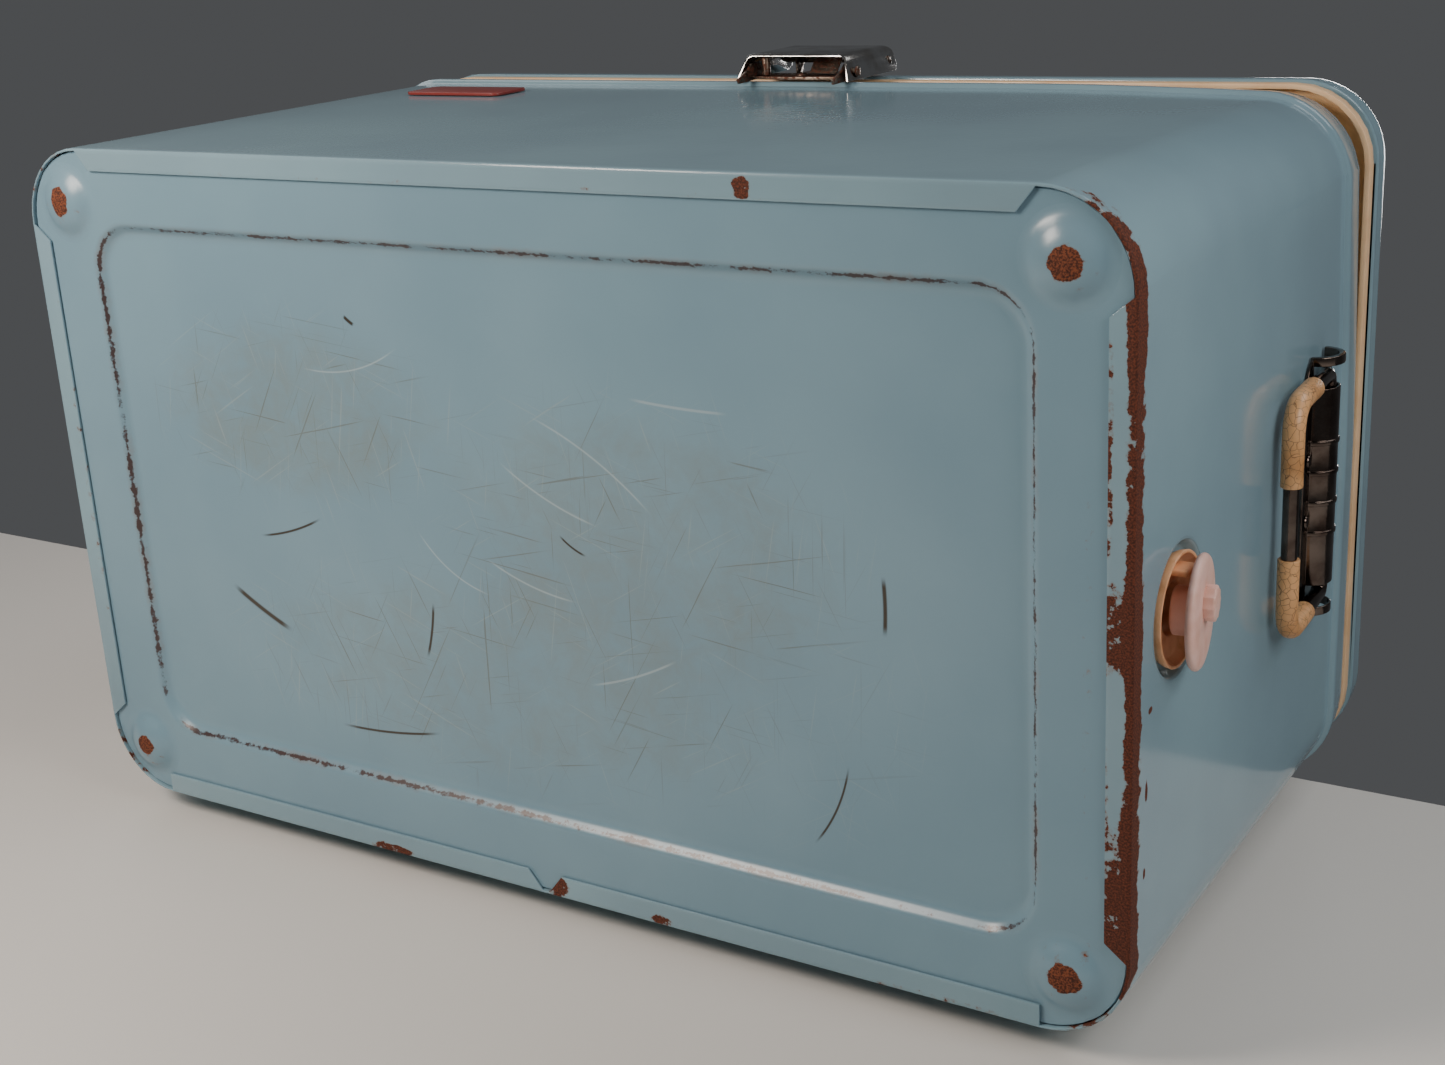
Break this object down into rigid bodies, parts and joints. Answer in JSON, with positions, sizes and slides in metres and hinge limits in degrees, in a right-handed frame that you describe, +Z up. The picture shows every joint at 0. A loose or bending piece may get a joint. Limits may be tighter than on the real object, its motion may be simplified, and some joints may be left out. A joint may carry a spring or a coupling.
{
  "type": "ice chest",
  "caption": "Insulated steel picnic ice chest with a hinged lid, over-rim latch, swinging bail handles, a capped drain and a sliding food tray.",
  "frame": {"origin": "bottom centre, on the plane the four feet stand on", "axes": "+Z up, -Y to the latch, +Y to the hinges, +X to the drain"},
  "size_m": [0.5878, 0.3598, 0.337],
  "materials": {
    "body_paint": "baked light blue enamel, glossy",
    "panel_paint": "baked light blue enamel, worn and scratched",
    "lid_paint": "baked light blue enamel, glossy",
    "foam": "rigid foam",
    "liner_plastic": "aged cream",
    "tray_plastic": "aged cream, translucent",
    "black_rubber": "matt",
    "hinge_zinc": "zinc plated, dulled",
    "latch_chrome": "polished, rust at the edges",
    "latch_steel": "plated steel with rust",
    "grip_plastic": "cream, crazed",
    "handle_chrome": "polished, tarnished dark",
    "drain_plastic": "cream, slightly pink",
    "badge_enamel": "red enamel"
  },
  "bodies": {
    "body": {"back_insulation": "foam", "badge": "badge_enamel", "body_wrapper": "body_paint", "bottom_panel": "panel_paint", "drain_collar": "drain_plastic", "drain_end_insulation": "foam", "drain_nut": "drain_plastic", "drain_strap": "drain_plastic", "drain_washer": "black_rubber", "floor_insulation": "foam", "front_insulation": "foam", "handle_left_bracket": "handle_chrome", "handle_left_rivet_1": "handle_chrome", "handle_left_rivet_2": "handle_chrome", "handle_right_bracket": "handle_chrome", "handle_right_rivet_1": "handle_chrome", "handle_right_rivet_2": "handle_chrome", "hinge_left_body_leaf": "hinge_zinc", "hinge_left_body_rivet_1": "hinge_zinc", "hinge_left_body_rivet_2": "hinge_zinc", "hinge_left_pin": "hinge_zinc", "hinge_right_body_leaf": "hinge_zinc", "hinge_right_body_rivet_1": "hinge_zinc", "hinge_right_body_rivet_2": "hinge_zinc", "hinge_right_pin": "hinge_zinc", "inner_liner": "liner_plastic", "left_end_insulation": "foam"},
    "drain_cap": {"drain_cap": "drain_plastic"},
    "tray": {"food_tray": "tray_plastic"},
    "handle_left": {"handle_left_bail": "handle_chrome", "handle_left_grip_back": "grip_plastic", "handle_left_grip_front": "grip_plastic"},
    "handle_right": {"handle_right_bail": "handle_chrome", "handle_right_grip_back": "grip_plastic", "handle_right_grip_front": "grip_plastic"},
    "lid": {"hinge_left_lid_leaf": "hinge_zinc", "hinge_left_lid_rivet_1": "hinge_zinc", "hinge_left_lid_rivet_2": "hinge_zinc", "hinge_right_lid_leaf": "hinge_zinc", "hinge_right_lid_rivet_1": "hinge_zinc", "hinge_right_lid_rivet_2": "hinge_zinc", "latch_base": "latch_steel", "latch_base_rivet_1": "latch_steel", "latch_base_rivet_2": "latch_steel", "latch_pin": "latch_steel", "lid_gasket": "black_rubber", "lid_insulation": "foam", "lid_liner": "liner_plastic", "lid_shell": "lid_paint"},
    "latch": {"latch_catch": "latch_steel", "latch_catch_rivet_1": "latch_steel", "latch_catch_rivet_2": "latch_steel", "latch_cover": "latch_chrome", "latch_post": "latch_steel", "latch_side_rivet_1": "latch_steel", "latch_side_rivet_2": "latch_steel", "latch_spring": "latch_steel"}
  },
  "joints": [
    {"name": "lid_hinge", "type": "hinge", "parent": "body", "child": "lid", "pos_m": [0, 0.1735, 0.3065], "axis": [-1, 0, 0], "range_deg": [0, 105]},
    {"name": "latch_lever", "type": "hinge", "parent": "lid", "child": "latch", "pos_m": [-0.004, -0.1758, 0.313], "axis": [-1, 0, 0], "range_deg": [0, 75]},
    {"name": "handle_right_swing", "type": "hinge", "parent": "body", "child": "handle_right", "pos_m": [0.2854, 0, 0.224], "axis": [0, -1, 0], "range_deg": [0, 95]},
    {"name": "handle_left_swing", "type": "hinge", "parent": "body", "child": "handle_left", "pos_m": [-0.2854, 0, 0.224], "axis": [0, 1, 0], "range_deg": [0, 95]},
    {"name": "drain_cap_pull", "type": "slide", "parent": "body", "child": "drain_cap", "axis": [1, 0, 0], "range_m": [0, 0.018]},
    {"name": "tray_slide", "type": "slide", "parent": "body", "child": "tray", "axis": [1, 0, 0], "range_m": [0, 0.265]}
  ]
}
